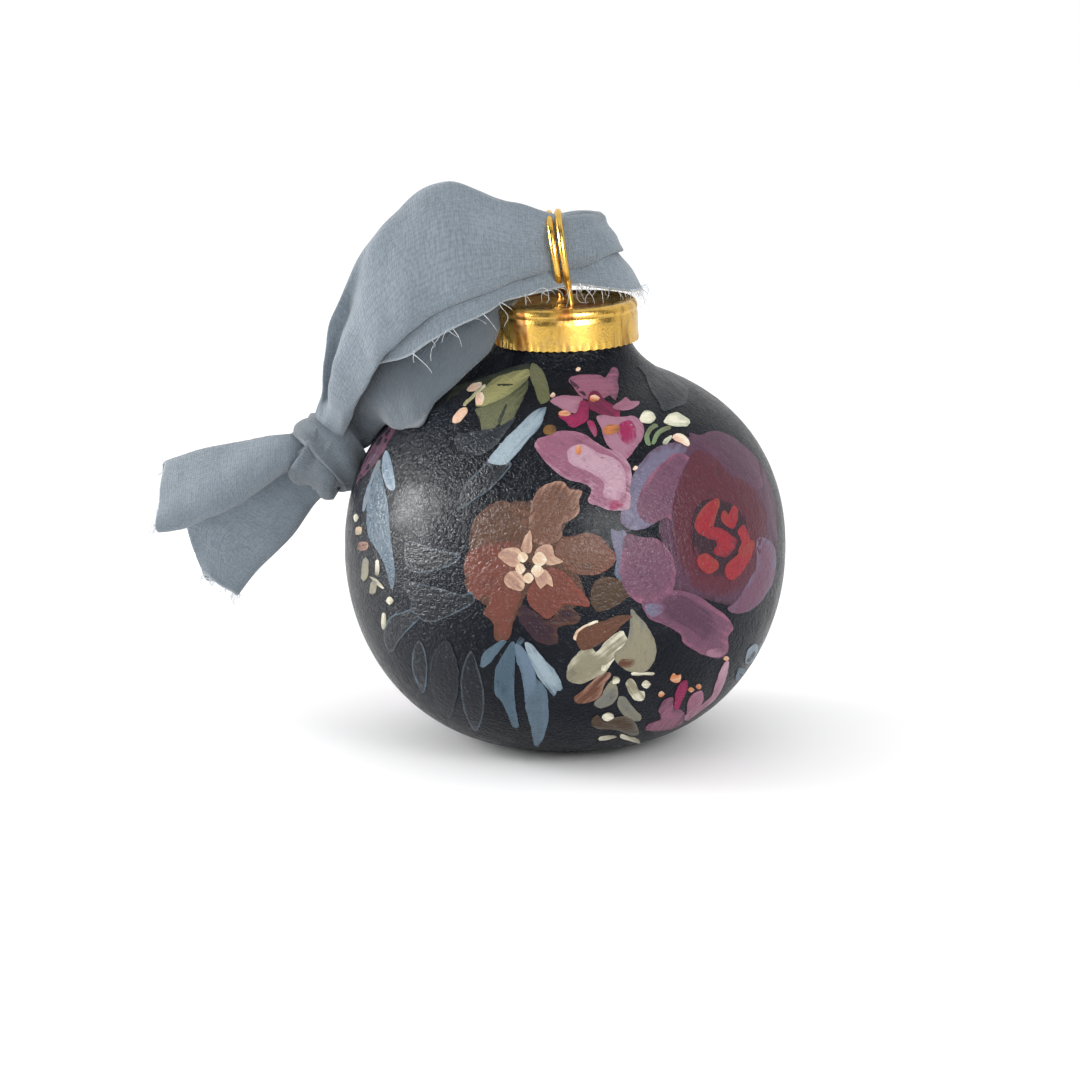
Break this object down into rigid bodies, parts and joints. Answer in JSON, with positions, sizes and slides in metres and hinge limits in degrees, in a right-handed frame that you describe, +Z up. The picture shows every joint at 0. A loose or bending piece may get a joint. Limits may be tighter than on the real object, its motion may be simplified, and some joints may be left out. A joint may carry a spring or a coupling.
{
  "type": "glass ball ornament",
  "caption": "Hollow round ball on a small flat foot, with a crimped metal crown cap, a twin-turn wire loop and a knotted chiffon ribbon.",
  "frame": {"origin": "centre of the ball's flat foot", "axes": "+Z up along the ball's axis, -Y the painted front, -X the side that the ribbon lies on"},
  "size_m": [0.1136, 0.08, 0.103],
  "materials": {
    "painted_glass": "painted dark navy with flowers, under a satin varnish",
    "brass_cap": "polished, lightly tarnished",
    "brass_wire": "polished",
    "ribbon": "dusty blue-grey crepe chiffon with frayed edges"
  },
  "bodies": {
    "ball": {"glass_ball": "painted_glass"},
    "cap": {"crown_cap": "brass_cap"},
    "hanger": {"wire_hanger": "brass_wire", "ribbon_bight": "ribbon"},
    "ribbon": {"ribbon_front_strand": "ribbon", "ribbon_back_strand": "ribbon", "ribbon_knot": "ribbon", "ribbon_upper_tail": "ribbon", "ribbon_lower_tail": "ribbon"}
  },
  "joints": [
    {"name": "cap_pull", "type": "slide", "parent": "ball", "child": "cap", "axis": [0, 0, 1], "range_m": [0, 0.02]},
    {"name": "hanger_rock", "type": "hinge", "parent": "cap", "child": "hanger", "pos_m": [0.00025, 0, 0.07995], "axis": [0, 1, 0], "range_deg": [0, 17]},
    {"name": "ribbon_swing", "type": "hinge", "parent": "hanger", "child": "ribbon", "pos_m": [-0.001, 0, 0.089], "axis": [0, 1, 0], "range_deg": [0, 90]}
  ]
}
